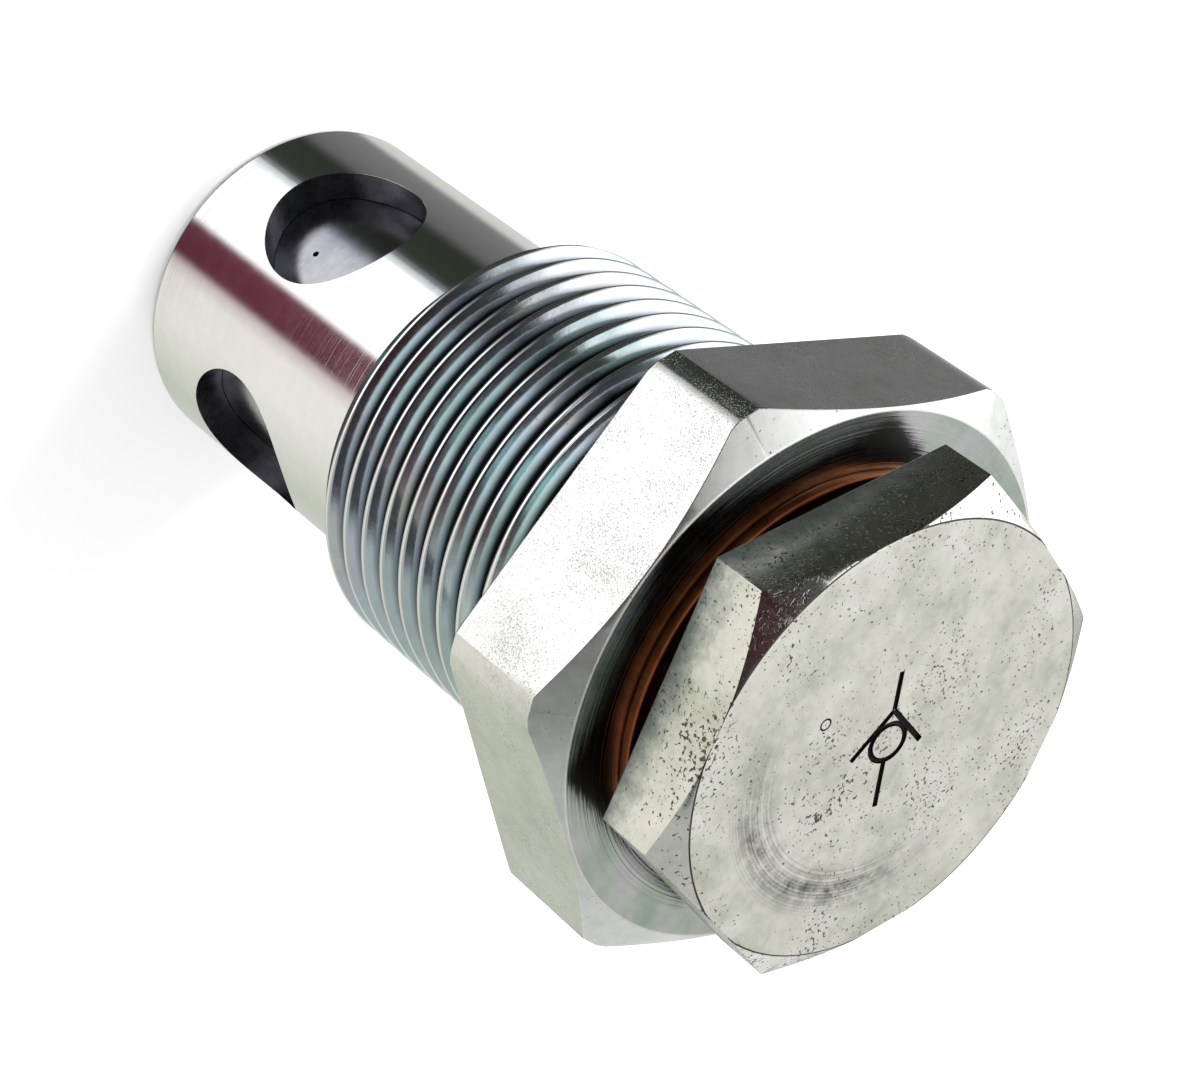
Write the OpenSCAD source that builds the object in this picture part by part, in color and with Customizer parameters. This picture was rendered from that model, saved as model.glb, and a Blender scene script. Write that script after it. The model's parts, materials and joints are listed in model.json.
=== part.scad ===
// Cartridge valve: a screw-in, spring-loaded bypass (check) valve.
// Pressure at the open nose lifts a cup-shaped poppet off its conical seat against a spring, and
// the flow leaves through round ports in the sleeve. A hexagon plug and a copper washer close
// the back. The valve's axis is Z, the plug points to +Z, and Z = 0 is the face under the body
// hexagon that seats on the manifold. Port 1 looks along +X.

/* [Body] */
// Width across the flats of the body hexagon
body_af = 41; // [38:0.5:46]
// Height of the body hexagon
hex_h = 10; // [9:0.5:16]
// How much is turned off each corner of the body hexagon
corner_trim = 0.6; // [0.2:0.1:1.5]
// Turned margin between the front face's circle and the flats
face_margin = 0.2; // [0:0.1:1]
// Angle of the turned chamfer on the body hexagon's front
hex_chamfer_angle = 28; // [15:1:35]
// Turn of the body hexagon about the axis, from port 1
hex_turn = 28.5; // [0:0.5:59]
// Major diameter of the pipe thread on the body
thread_d = 33.25; // [31:0.05:36]
// Length from the seating face to the nose end of the thread
thread_len = 25.8; // [24:0.1:34]
// Depth of the chamfer at the thread's nose end
thread_chamfer = 1.5; // [0.5:0.1:2]

/* [Sleeve] */
// Outside diameter of the sleeve
sleeve_d = 27.2; // [26:0.1:30]
// Length of the sleeve from the thread to the nose
sleeve_len = 27.1; // [24:0.1:36]
// Diameter of the bore that guides the poppet
bore_d = 22.4; // [20:0.1:23]
// Number of ports round the sleeve
port_count = 4; // [3:1:4]
// Diameter of each port
port_d = 12.4; // [8:0.1:13]
// Distance from the nose to the port centres
port_from_nose = 12.2; // [11:0.1:14]
// Diameter of the inlet through the nose
inlet_d = 17; // [14:0.1:18]
// Length of the straight inlet below the seat's cone
inlet_land = 2.4; // [1:0.1:2.8]
// Chamfer round the nose's outer edge
nose_chamfer = 0.4; // [0.2:0.1:0.8]

/* [Plug] */
// Width across the flats of the plug's hexagon
plug_af = 33; // [30:0.5:36]
// Height of the plug's hexagon
plug_head_h = 5.9; // [4:0.1:10]
// Angle of the turned chamfer on the plug's top
plug_chamfer_angle = 31; // [15:1:35]
// How far the plug's face circle reaches past its flats
plug_face_over = 0.1; // [0:0.05:0.5]
// Turn of the plug's hexagon about the axis, from port 1
plug_turn = -11.5; // [-30:0.5:30]
// How far the turned collar under the plug's hexagon reaches past its thread
collar_lip = 1.53; // [1:0.01:2]
// Height of that collar
collar_h = 1.3; // [0.5:0.1:3]
// Major diameter of the plug's thread
plug_thread_d = 26.44; // [25:0.01:27]
// Length of the plug's shank below its collar
plug_shank_len = 14; // [12:0.5:20]
// Depth of the spring's pocket in the plug, from the shank's end
pocket_depth = 10; // [6:0.5:14]

/* [Washer] */
// Width of the copper washer's ring, from its hole to its outer edge
washer_width = 2.6; // [2:0.1:3.5]
// Thickness of the copper washer
washer_t = 1; // [0.8:0.1:2.5]

/* [Poppet] */
// How far the poppet lifts before its skirt meets the plug
lift = 17; // [12:0.5:18]
// Wall thickness of the poppet's skirt
skirt_wall = 2.2; // [1.5:0.1:2.3]
// Thickness of the poppet's face
poppet_face_t = 3; // [2.8:0.1:5]
// Diameter of the bleed holes through the skirt
bleed_d = 0.5; // [0.3:0.1:1.5]
// Number of bleed holes
bleed_count = 2; // [1:1:4]
// Distance of the bleed holes below the port centres
bleed_drop = 1.4; // [0:0.1:3]
// Turn of the first bleed hole about the axis, from port 1
bleed_turn = 12; // [0:1:15]

/* [Spring] */
// Wire diameter of the spring
wire_d = 1.6; // [1.2:0.1:2]
// Working turns of the spring
spring_turns = 12; // [8:1:14]

/* [Shims] */
// Thickness of the thin setting shim
thin_shim_t = 0.5; // [0.3:0.1:1]
// Thickness of the thick setting shim
thick_shim_t = 1; // [0.5:0.1:2]
// Width of both shims' rings, from their holes to their outer edges
shim_width = 4.2; // [2:0.1:6]

/* [Clearances] */
// Radial running clearance of the poppet in its bore
poppet_clear = 0.04; // [0.02:0.01:0.08]
// Gap between the poppet's cone and its seat
seat_gap = 0.02; // [0.01:0.01:0.05]
// Radial clearance between the plug's thread and the body
plug_thread_clear = 0.05; // [0.02:0.01:0.1]
// Radial clearance of the copper washer round the plug's thread
washer_clear = 0.28; // [0.1:0.01:0.5]
// Radial clearance of the spring inside the poppet's skirt
spring_clear = 0.46; // [0.2:0.01:1]
// Radial clearance of the spring inside the plug's pocket
pocket_clear = 0.4; // [0.2:0.05:1]
// Radial clearance of the shims inside the plug's pocket
shim_clear = 0.2; // [0.1:0.05:0.5]
// Gap between the lifted skirt and the plug
stop_gap = 0.1; // [0.05:0.05:0.5]
// Gap at each end of the spring
spring_end_gap = 0.05; // [0.02:0.01:0.1]
// Depth of the body's thread past the plug's end
thread_run_out = 2; // [1:0.5:3]

/* [Hidden] */
$fn = 96;

past = 1;
steel = "#c9ccc9";
copper = "#b5622e";
spring_steel = "#8d9093";

nose_z = -(thread_len + sleeve_len);
port_z = nose_z + port_from_nose;
bore_r = bore_d / 2;
inlet_r = inlet_d / 2;
seat_z = nose_z + inlet_land;
seat_top_z = seat_z + bore_r - inlet_r;

body_face_r = body_af / 2 - face_margin;
body_corner_r = body_af / 2 / cos(30) - corner_trim;
washer_top_z = hex_h + washer_t;
head_z = washer_top_z + collar_h;
plug_top_z = head_z + plug_head_h;
plug_end_z = washer_top_z - plug_shank_len;
plug_face_r = plug_af / 2 + plug_face_over;
plug_corner_r = plug_af / 2 / cos(30);
plug_thread_r = plug_thread_d / 2;
plug_hole_r = plug_thread_r + plug_thread_clear;
plug_thread_chamfer = 1;
pocket_top_z = plug_end_z + pocket_depth;

poppet_r = bore_r - poppet_clear;
poppet_z = seat_z + seat_gap * sqrt(2) - poppet_clear;
poppet_nose_r = inlet_r - poppet_clear;
skirt_top_z = plug_end_z - stop_gap - lift;
skirt_in_r = poppet_r - skirt_wall;
poppet_floor_z = poppet_z + poppet_face_t;
bleed_z = port_z - bleed_drop;

washer_id = plug_thread_d + 2 * washer_clear;
washer_od = washer_id + 2 * washer_width;
collar_d = plug_thread_d + 2 * collar_lip;
spring_od = 2 * (skirt_in_r - spring_clear);
pocket_d = spring_od + 2 * pocket_clear;
shim_od = pocket_d - 2 * shim_clear;
shim_id = shim_od - 2 * shim_width;

spring_top_z = pocket_top_z - thick_shim_t - thin_shim_t;
coil_r = (spring_od - wire_d) / 2;
coil_low_z = poppet_floor_z + spring_end_gap + wire_d / 2;
coil_high_z = spring_top_z - spring_end_gap - wire_d / 2;
closed_pitch = wire_d * 1.08;
coil_steps = 16;
wire_sides = 8;

// A hexagon prism from z = 0, turned so that a flat faces the angle that is given
module hexagon(across_flats, height, turn) {
    rotate([0, 0, turn + 30])
        cylinder(r = across_flats / 2 / cos(30), h = height, $fn = 6);
}

// A flat ring with square edges
module ring(outer_d, inner_d, thickness) {
    difference() {
        cylinder(d = outer_d, h = thickness);
        translate([0, 0, -past])
            cylinder(d = inner_d, h = thickness + 2 * past);
    }
}

// The turned outline that trims the body hexagon's corners and chamfers its front
module hexagon_turning(corner_r, face_r, height, angle) {
    shoulder_z = height - (corner_r - face_r) * tan(angle);
    rotate_extrude()
        polygon([[0, 0], [corner_r, 0], [corner_r, shoulder_z], [face_r, height], [0, height]]);
}

// The thread's cylinder and the sleeve, as one solid shank
module body_shank() {
    thread_r = thread_d / 2;
    sleeve_r = sleeve_d / 2;
    rotate_extrude()
        polygon([
            [0, nose_z],
            [sleeve_r - nose_chamfer, nose_z],
            [sleeve_r, nose_z + nose_chamfer],
            [sleeve_r, -thread_len],
            [thread_r - thread_chamfer, -thread_len],
            [thread_r, thread_chamfer - thread_len],
            [thread_r, past],
            [0, past]
        ]);
}

// Everything that is bored out of the body along its axis
module body_bore() {
    hole_end_z = plug_end_z - thread_run_out;
    rotate_extrude()
        polygon([
            [0, nose_z - past],
            [inlet_r, nose_z - past],
            [inlet_r, seat_z],
            [bore_r, seat_top_z],
            [bore_r, hole_end_z],
            [plug_hole_r, hole_end_z],
            [plug_hole_r, hex_h + past],
            [0, hex_h + past]
        ]);
}

// The round ports, drilled square to the axis from outside into the bore
module ports() {
    for (i = [0 : port_count - 1])
        rotate([0, 0, i * 360 / port_count])
            translate([0, 0, port_z])
                rotate([0, 90, 0])
                    cylinder(d = port_d, h = sleeve_d);
}

module valve_body() {
    color(steel)
        difference() {
            union() {
                intersection() {
                    hexagon(body_af, hex_h, hex_turn);
                    hexagon_turning(body_corner_r, body_face_r, hex_h, hex_chamfer_angle);
                }
                body_shank();
            }
            body_bore();
            ports();
        }
}

// The plug: chamfered hexagon, collar, threaded shank, and the spring's pocket
module end_plug() {
    color(steel)
        difference() {
            union() {
                translate([0, 0, head_z])
                    intersection() {
                        hexagon(plug_af, plug_head_h, plug_turn);
                        hexagon_turning(plug_corner_r + past, plug_face_r, plug_head_h,
                                        plug_chamfer_angle);
                    }
                translate([0, 0, washer_top_z])
                    cylinder(d = collar_d, h = collar_h + past);
                rotate_extrude()
                    polygon([
                        [0, plug_end_z],
                        [plug_thread_r - plug_thread_chamfer, plug_end_z],
                        [plug_thread_r, plug_end_z + plug_thread_chamfer],
                        [plug_thread_r, washer_top_z + past],
                        [0, washer_top_z + past]
                    ]);
            }
            translate([0, 0, plug_end_z - past])
                cylinder(d = pocket_d, h = pocket_depth + past);
        }
}

// The sealing ring that is nipped between the body's front face and the plug's collar
module copper_washer() {
    color(copper)
        translate([0, 0, hex_h])
            ring(washer_od, washer_id, washer_t);
}

// A cup with a conical nose that seats in the body and a long skirt that covers the ports
module poppet() {
    color(steel)
        difference() {
            rotate_extrude()
                polygon([
                    [0, poppet_z],
                    [poppet_nose_r, poppet_z],
                    [poppet_r, poppet_z + poppet_r - poppet_nose_r],
                    [poppet_r, skirt_top_z],
                    [skirt_in_r, skirt_top_z],
                    [skirt_in_r, poppet_floor_z],
                    [0, poppet_floor_z]
                ]);
            for (i = [0 : bleed_count - 1])
                rotate([0, 0, bleed_turn + i * 360 / bleed_count])
                    translate([0, 0, bleed_z])
                        rotate([0, 90, 0])
                            cylinder(d = bleed_d, h = bore_d, $fn = 24);
        }
}

// Height of the wire's centre after a number of turns: a closed turn, the working turns at an
// even pitch, and another closed turn
function coil_z(turn) =
    turn < 1 ? coil_low_z + turn * closed_pitch
    : turn < 1 + spring_turns
        ? coil_low_z + closed_pitch
            + (turn - 1) * (coil_high_z - coil_low_z - 2 * closed_pitch) / spring_turns
        : coil_high_z - (spring_turns + 2 - turn) * closed_pitch;

// One point on the wire's surface, at a number of turns and an angle round the wire
function wire_point(turn, angle) =
    let (r = coil_r + wire_d / 2 * cos(angle))
        [r * cos(turn * 360), r * sin(turn * 360), coil_z(turn) + wire_d / 2 * sin(angle)];

module spring() {
    rings = (spring_turns + 2) * coil_steps;
    points = [
        for (i = [0 : rings])
            for (j = [0 : wire_sides - 1])
                wire_point(i / coil_steps, j * 360 / wire_sides)
    ];
    sides = [
        for (i = [0 : rings - 1])
            for (j = [0 : wire_sides - 1])
                let (a = i * wire_sides + j, b = i * wire_sides + (j + 1) % wire_sides)
                    [a, a + wire_sides, b + wire_sides, b]
    ];
    first_end = [for (j = [0 : wire_sides - 1]) j];
    last_end = [for (j = [0 : wire_sides - 1]) rings * wire_sides + wire_sides - 1 - j];
    color(spring_steel)
        polyhedron(points, concat([first_end], sides, [last_end]));
}

// The two shims that set the spring's preload, at the bottom of the plug's pocket
module thick_shim() {
    color(spring_steel)
        translate([0, 0, pocket_top_z - thick_shim_t])
            ring(shim_od, shim_id, thick_shim_t);
}

module thin_shim() {
    color(spring_steel)
        translate([0, 0, spring_top_z])
            ring(shim_od, shim_id, thin_shim_t);
}

valve_body();
end_plug();
copper_washer();
poppet();
spring();
thin_shim();
thick_shim();
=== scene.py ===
# %% [markdown]
# # A screw-in cartridge valve
# A bypass valve for a hydraulic manifold: a threaded steel body with a hexagon, a sleeve with
# four round ports, a sprung poppet inside it, and a hexagon plug that closes the back over a
# copper washer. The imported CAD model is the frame: it gives every size and place, and the
# pieces that are made here stand in its place with finer edges, real threads and real finishes.

# %% Load the frame
import json
import math

import bmesh
import bpy
from mathutils import Matrix, Vector

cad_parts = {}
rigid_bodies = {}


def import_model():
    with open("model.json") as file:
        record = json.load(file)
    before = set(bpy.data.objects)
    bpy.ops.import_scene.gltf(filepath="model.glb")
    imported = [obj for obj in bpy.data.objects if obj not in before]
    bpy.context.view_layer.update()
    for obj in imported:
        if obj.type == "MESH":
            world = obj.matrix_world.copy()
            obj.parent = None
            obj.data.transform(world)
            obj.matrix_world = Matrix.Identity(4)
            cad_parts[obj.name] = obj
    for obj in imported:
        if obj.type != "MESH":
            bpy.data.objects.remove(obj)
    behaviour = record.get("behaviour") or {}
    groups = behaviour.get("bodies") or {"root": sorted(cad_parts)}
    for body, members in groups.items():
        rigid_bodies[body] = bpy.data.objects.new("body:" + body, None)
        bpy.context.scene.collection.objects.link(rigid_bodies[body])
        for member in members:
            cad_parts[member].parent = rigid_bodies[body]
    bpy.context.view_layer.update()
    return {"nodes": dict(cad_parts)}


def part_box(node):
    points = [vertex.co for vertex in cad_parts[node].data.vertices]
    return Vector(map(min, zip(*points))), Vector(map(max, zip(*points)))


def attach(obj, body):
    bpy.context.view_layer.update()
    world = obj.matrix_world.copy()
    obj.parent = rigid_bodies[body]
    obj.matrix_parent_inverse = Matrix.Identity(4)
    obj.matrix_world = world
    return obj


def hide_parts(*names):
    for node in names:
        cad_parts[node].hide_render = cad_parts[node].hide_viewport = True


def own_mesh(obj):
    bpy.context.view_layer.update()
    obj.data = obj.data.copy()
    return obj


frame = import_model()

MM = 0.001
scene = bpy.context.scene

# %% [markdown]
# ## Measures
# The sizes come from the boxes of the CAD nodes. Only what a box can't say, such as a
# thread's pitch or a chamfer's angle, is written here as a number.

# %% Read the sizes from the frame
body_low, body_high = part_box("valve_body")
plug_low, plug_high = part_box("end_plug")
washer_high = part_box("copper_washer")[1]
poppet_low, poppet_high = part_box("poppet")
spring_low, spring_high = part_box("spring")
nose_z = body_low.z
face_z = body_high.z
plug_top_z = plug_high.z
plug_end_z = plug_low.z
washer_top_z = washer_high.z
washer_r = washer_high.x
poppet_r = poppet_high.x

# %% Sizes that the boxes can't give
BODY_AF, BODY_CORNER_R, BODY_FACE_R = 41.0 * MM, 23.07 * MM, 20.3 * MM
BODY_TURN, BODY_CHAMFER = 28.5, 28.0
PLUG_AF, PLUG_FACE_R, PLUG_TURN, PLUG_CHAMFER = 33.0 * MM, 16.6 * MM, -11.5, 31.0
COLLAR_R, COLLAR_H = 14.75 * MM, 1.3 * MM
SLEEVE_R, BORE_R, INLET_R, SEAT_Z = 13.6 * MM, 11.2 * MM, 8.5 * MM, -50.5 * MM
PLUG_HOLE_R, PLUG_HOLE_END_Z = 13.27 * MM, -5.0 * MM
PORT_R, PORT_Z, PORT_COUNT = 6.2 * MM, -40.7 * MM, 4
BLEED_R, BLEED_Z, BLEED_TURN, BLEED_COUNT = 0.25 * MM, -42.1 * MM, 12.0, 2
POCKET_R, POCKET_TOP_Z = 8.9 * MM, 7.0 * MM
SKIRT_IN_R, POPPET_FLOOR_Z, POPPET_NOSE_R = 8.96 * MM, -47.512 * MM, 8.46 * MM
WASHER_HOLE_R = 13.5 * MM
head_z = washer_top_z + COLLAR_H

# %% [markdown]
# ## Camera
# The camera looks down on the valve from the plug's side, rolled so that the valve's axis runs
# from the upper left to the lower right. Its frame is built from three directions.

# %% Place the camera
CAMERA_AT = Vector((159.93, 79.43, 138.86)) * MM
LOOK = Vector((-0.68605, -0.33564, -0.64551))
RIGHT = Vector((-0.18778, -0.77549, 0.60279))
camera_data = bpy.data.cameras.new("camera")
camera_data.lens = 98.01
camera_data.sensor_width = 36.0
camera_data.clip_start = 0.01
camera = bpy.data.objects.new("camera", camera_data)
scene.collection.objects.link(camera)
back = -LOOK.normalized()
right = RIGHT.normalized()
up = back.cross(right).normalized()
turned = Matrix((right, up, back)).transposed().to_4x4()
camera.matrix_world = Matrix.Translation(CAMERA_AT) @ turned
scene.camera = camera
print("camera looks along", tuple(round(v, 3) for v in LOOK))


# %% [markdown]
# ## Small node helpers
# Materials, the studio's cards and the Geometry Nodes trees are all node trees. A few helpers
# keep their cells short: they add a node and fill its sockets, do sums, measure from the axis,
# make noise, ramps and mixes, and start and end a Geometry Nodes tree.

# %% Helpers for node trees
def add_node(tree, kind, inputs=None, **settings):
    """A node of this kind, with its settings and its input sockets filled or linked."""
    node = tree.nodes.new(kind)
    for name, value in settings.items():
        setattr(node, name, value)
    for key, value in (inputs or {}).items():
        fill(tree, node.inputs[key], value)
    return node


def fill(tree, socket, value):
    """Links a socket to another, or sets its value."""
    if isinstance(value, bpy.types.NodeSocket):
        tree.links.new(value, socket)
    elif isinstance(value, bpy.types.Node):
        tree.links.new(value.outputs[0], socket)
    else:
        socket.default_value = value


def maths(tree, operation, *values, clamp=False):
    """A maths node's result from one, two or three numbers or sockets."""
    node = add_node(tree, "ShaderNodeMath", operation=operation, use_clamp=clamp)
    for socket, value in zip(node.inputs, values):
        fill(tree, socket, value)
    return node.outputs[0]


def plus(tree, first, second):
    """A sum."""
    return maths(tree, "ADD", first, second)


def minus(tree, first, second, clamp=False):
    """A difference."""
    return maths(tree, "SUBTRACT", first, second, clamp=clamp)


def times(tree, first, second, clamp=False):
    """A product."""
    return maths(tree, "MULTIPLY", first, second, clamp=clamp)


def past(tree, value, edge, steepness):
    """How far a value is past an edge, from 0 to 1."""
    return times(tree, minus(tree, value, edge), steepness, clamp=True)


def off_axis(tree, split):
    """A point's distance from the Z axis, from its separate coordinates."""
    flat = add_node(tree, "ShaderNodeCombineXYZ", {
        "X": split.outputs["X"], "Y": split.outputs["Y"]})
    return add_node(tree, "ShaderNodeVectorMath", {0: flat}, operation="LENGTH").outputs["Value"]


def noise(tree, where, scale, detail, roughness=0.5):
    """Noise over a point, or along a line where it is given a single number."""
    along = where.type == "VALUE"
    inputs = {"W" if along else "Vector": where, "Scale": scale, "Detail": detail,
              "Roughness": roughness}
    node = add_node(tree, "ShaderNodeTexNoise", inputs, noise_dimensions="1D" if along else "3D")
    return node.outputs[0]


def colour_ramp(tree, value, stops, easing="LINEAR"):
    """A colour ramp over a value, from pairs of a place and a colour or a grey."""
    ramp = add_node(tree, "ShaderNodeValToRGB", {"Fac": value})
    ramp.color_ramp.interpolation = easing
    points = ramp.color_ramp.elements
    while len(points) < len(stops):
        points.new(0.5)
    for point, (place, colour) in zip(points, stops):
        point.position = place
        grey = isinstance(colour, (int, float))
        point.color = (colour, colour, colour, 1) if grey else (*colour, 1)
    return ramp.outputs["Color"]


def mix_colour(tree, share, first, second, blend="MIX"):
    """Two colours mixed by a share."""
    node = add_node(tree, "ShaderNodeMix", data_type="RGBA", blend_type=blend)
    fill(tree, node.inputs[0], share)
    fill(tree, node.inputs[6], first if not isinstance(first, tuple) else (*first, 1))
    fill(tree, node.inputs[7], second if not isinstance(second, tuple) else (*second, 1))
    return node.outputs[2]


SOCKETS = {"whole": "NodeSocketInt", "number": "NodeSocketFloat", "finish": "NodeSocketMaterial"}


def new_tree(name, takes_mesh=False, **inputs):
    """An empty Geometry Nodes tree with a mesh out and named inputs, and its inputs' sockets."""
    tree = bpy.data.node_groups.new(name, "GeometryNodeTree")
    tree.interface.new_socket("Geometry", in_out="OUTPUT", socket_type="NodeSocketGeometry")
    if takes_mesh:
        tree.interface.new_socket("Geometry", in_out="INPUT", socket_type="NodeSocketGeometry")
    for kind, defaults in inputs.items():
        for label, default in defaults.items():
            item = tree.interface.new_socket(label, in_out="INPUT", socket_type=SOCKETS[kind])
            if default is not None:
                item.default_value = default
    return tree, add_node(tree, "NodeGroupInput").outputs


def end_tree(tree, geometry, finish):
    """Ends a tree: instances are made real, the finish is set and the result goes out."""
    whole = add_node(tree, "GeometryNodeRealizeInstances", {"Geometry": geometry})
    finished = add_node(tree, "GeometryNodeSetMaterial", {"Geometry": whole, "Material": finish})
    add_node(tree, "NodeGroupOutput", {"Geometry": finished})


# %% [markdown]
# ## Studio
# Plated steel shows little of its own colour: it shows the room. The floor is plain and pale.
# Under and over the valve are cards that only reflections see, as a product studio hangs them,
# so its flats and curves get light and dark bands.

# %% Floor and world
def link_object(name, mesh, material=None):
    """A mesh object in the scene, with one material."""
    made = bpy.data.objects.new(name, mesh)
    scene.collection.objects.link(made)
    if material:
        mesh.materials.append(material)
    return made


def circle_points(x, y, radius, count=40):
    """Points round a circle."""
    turns = [2 * math.pi * i / count for i in range(count)]
    return [(x + radius * math.cos(turn), y + radius * math.sin(turn)) for turn in turns]


def disc_mesh(name, radius, sides=96):
    """A flat disc of one face, at the origin."""
    mesh = bpy.data.meshes.new(name)
    ring = [(x, y, 0) for x, y in circle_points(0, 0, radius, sides)]
    mesh.from_pydata(ring, [], [list(range(sides))])
    return mesh


FLOOR_R = 4.0
floor_finish = bpy.data.materials.new("floor")
floor_finish.use_nodes = True
floor_shader = floor_finish.node_tree.nodes["Principled BSDF"]
floor_shader.inputs["Base Color"].default_value = (0.93, 0.93, 0.92, 1)
floor_shader.inputs["Roughness"].default_value = 0.8
floor_shader.inputs["Specular IOR Level"].default_value = 0.2
floor = link_object("floor", disc_mesh("floor", FLOOR_R), floor_finish)
floor.location.z = nose_z
floor.visible_glossy = False
world = bpy.data.worlds.new("studio")
scene.world = world
world.use_nodes = True
sky = world.node_tree.nodes["Background"]
sky.inputs["Color"].default_value = (0.93, 0.94, 0.95, 1)
sky.inputs["Strength"].default_value = 0.95
scene.view_settings.view_transform = "Standard"
print("floor at", floor.location.z)


# %% The card underneath
def reflected_only(thing):
    """Leaves a card out of everything but reflections."""
    thing.visible_camera = False
    thing.visible_diffuse = False
    thing.visible_shadow = False
    thing.visible_transmission = False


# where each band of the card under the valve starts, in degrees about the axis, and its glow
BANDS = [(-180, (0.55, 0.57, 0.54)), (-150, (0.62, 0.63, 0.58)), (-112, (0.60, 0.61, 0.58)),
         (-104, (0.20, 0.20, 0.20)), (-80, (0.16, 0.16, 0.16)), (-68, (0.13, 0.13, 0.13)),
         (-60, (0.030, 0.034, 0.026)), (-34, (0.035, 0.038, 0.030)), (-28, (0.25, 0.27, 0.29)),
         (-22, (1.15, 1.2, 1.25)), (-12, (1.3, 1.3, 1.3)), (30, (1.3, 1.3, 1.3)),
         (34, (0.13, 0.025, 0.045)), (56, (0.11, 0.02, 0.04)), (61, (0.64, 0.55, 0.55)),
         (70, (0.86, 0.83, 0.81)), (95, (0.84, 0.83, 0.79)), (150, (0.55, 0.58, 0.49)),
         (180, (0.55, 0.57, 0.54))]
# the same further out, where the hexagons' flats look
OUTER_BANDS = [(-180, (0.5, 0.5, 0.5)), (-120, (0.45, 0.45, 0.44)), (-104, (0.17, 0.17, 0.17)),
               (-76, (0.13, 0.13, 0.13)), (-68, (0.08, 0.08, 0.08)), (-62, (0.030, 0.034, 0.026)),
               (-22, (0.035, 0.038, 0.030)), (-8, (0.4, 0.4, 0.4)), (4, (1.3, 1.3, 1.3)),
               (48, (1.3, 1.3, 1.3)), (58, (0.85, 0.84, 0.78)), (95, (0.66, 0.66, 0.58)),
               (150, (0.50, 0.53, 0.43)), (180, (0.5, 0.5, 0.5))]
# the middle, which the thread sees by way of the hexagon's underside, with one lit patch
MIDDLE_BANDS = [(-180, (0.05, 0.055, 0.06)), (60, (0.06, 0.05, 0.055)), (84, (0.12, 0.055, 0.06)),
                (102, (0.30, 0.29, 0.28)), (112, (0.46, 0.47, 0.45)), (150, (0.45, 0.47, 0.44)),
                (172, (0.06, 0.065, 0.07)), (180, (0.05, 0.055, 0.06))]
LIT_AT, LIT_R = (0.052, 0.025, 0.0), 0.052
OUTER_FROM, MIDDLE_TO = 0.425, 0.275
CARD_UNDER_R, CARD_UNDER_DROP = 2.5, 0.35


def card_start(name):
    """A card's material and tree, with the direction about the axis and the distance from it."""
    material = bpy.data.materials.new(name)
    material.use_nodes = True
    tree = material.node_tree
    tree.nodes.clear()
    place = add_node(tree, "ShaderNodeTexCoord").outputs["Object"]
    split = add_node(tree, "ShaderNodeSeparateXYZ", {0: place})
    azimuth = maths(tree, "ARCTAN2", split.outputs["Y"], split.outputs["X"])
    share = maths(tree, "MULTIPLY_ADD", azimuth, 1 / (2 * math.pi), 0.5)
    away = add_node(tree, "ShaderNodeVectorMath", {0: place}, operation="LENGTH").outputs["Value"]
    return material, tree, place, share, away


def banded(tree, share, bands):
    """A colour for each direction about the axis, from bands given in degrees."""
    return colour_ramp(tree, share, [((a + 180) / 360, c) for a, c in bands])


def card_end(tree, glow, strength):
    """Makes the card give off its colour."""
    lamp = add_node(tree, "ShaderNodeEmission", {"Color": glow, "Strength": strength})
    add_node(tree, "ShaderNodeOutputMaterial", {"Surface": lamp})


under, t, place, share, away = card_start("card_under")
inner, outer = banded(t, share, BANDS), banded(t, share, OUTER_BANDS)
glow = mix_colour(t, past(t, away, OUTER_FROM, 45.0), inner, outer)
off_lit = add_node(t, "ShaderNodeVectorMath", {0: place, 1: LIT_AT}, operation="DISTANCE")
unlit = past(t, off_lit.outputs["Value"], LIT_R, 45.0)
middle = mix_colour(t, unlit, (0.50, 0.90, 0.92), banded(t, share, MIDDLE_BANDS))
card_end(t, mix_colour(t, past(t, away, MIDDLE_TO, 50.0), middle, glow), 1.15)
card_under = link_object("card_under", disc_mesh("card_under", CARD_UNDER_R), under)
card_under.location.z = nose_z - CARD_UNDER_DROP
reflected_only(card_under)
print("card under the valve at", card_under.location.z)


# %% The card overhead
# bands about the axis for the steep ring of the card, then how far out each zone reaches
STEEP_BANDS = [(-180, (0.85, 0.86, 0.86)), (-110, (1.7, 1.7, 1.7)), (-68, (1.7, 1.7, 1.7)),
               (-58, (0.04, 0.045, 0.045)), (-30, (0.035, 0.03, 0.032)), (0, (0.045, 0.016, 0.020)),
               (50, (0.045, 0.018, 0.022)), (90, (0.04, 0.04, 0.045)), (118, (0.06, 0.065, 0.07)),
               (134, (0.36, 0.38, 0.38)), (160, (0.62, 0.64, 0.62)), (180, (0.85, 0.86, 0.86))]
LOW_BANDS = [(-180, (0.60, 0.60, 0.56)), (-154, (0.62, 0.62, 0.57)), (-130, (0.80, 0.80, 0.78)),
             (-110, (1.7, 1.7, 1.7)), (-80, (1.7, 1.7, 1.7)), (-64, (0.06, 0.07, 0.065)),
             (50, (0.05, 0.05, 0.05)), (66, (0.45, 0.45, 0.42)), (110, (0.50, 0.51, 0.50)),
             (140, (0.46, 0.47, 0.46)), (180, (0.60, 0.60, 0.56))]
LOW_FROM = 0.33
CARD_OVER_R, CARD_OVER_Z = 1.6, 0.45
over, t, place, share, away = card_start("card_over")
steep, low = banded(t, share, STEEP_BANDS), banded(t, share, LOW_BANDS)
card_end(t, mix_colour(t, past(t, away, LOW_FROM, 16.0), steep, low), 1.1)
card_over = link_object("card_over", disc_mesh("card_over", CARD_OVER_R), over)
card_over.location.z = CARD_OVER_Z
reflected_only(card_over)
print("card over the valve at", card_over.location.z)


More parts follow.
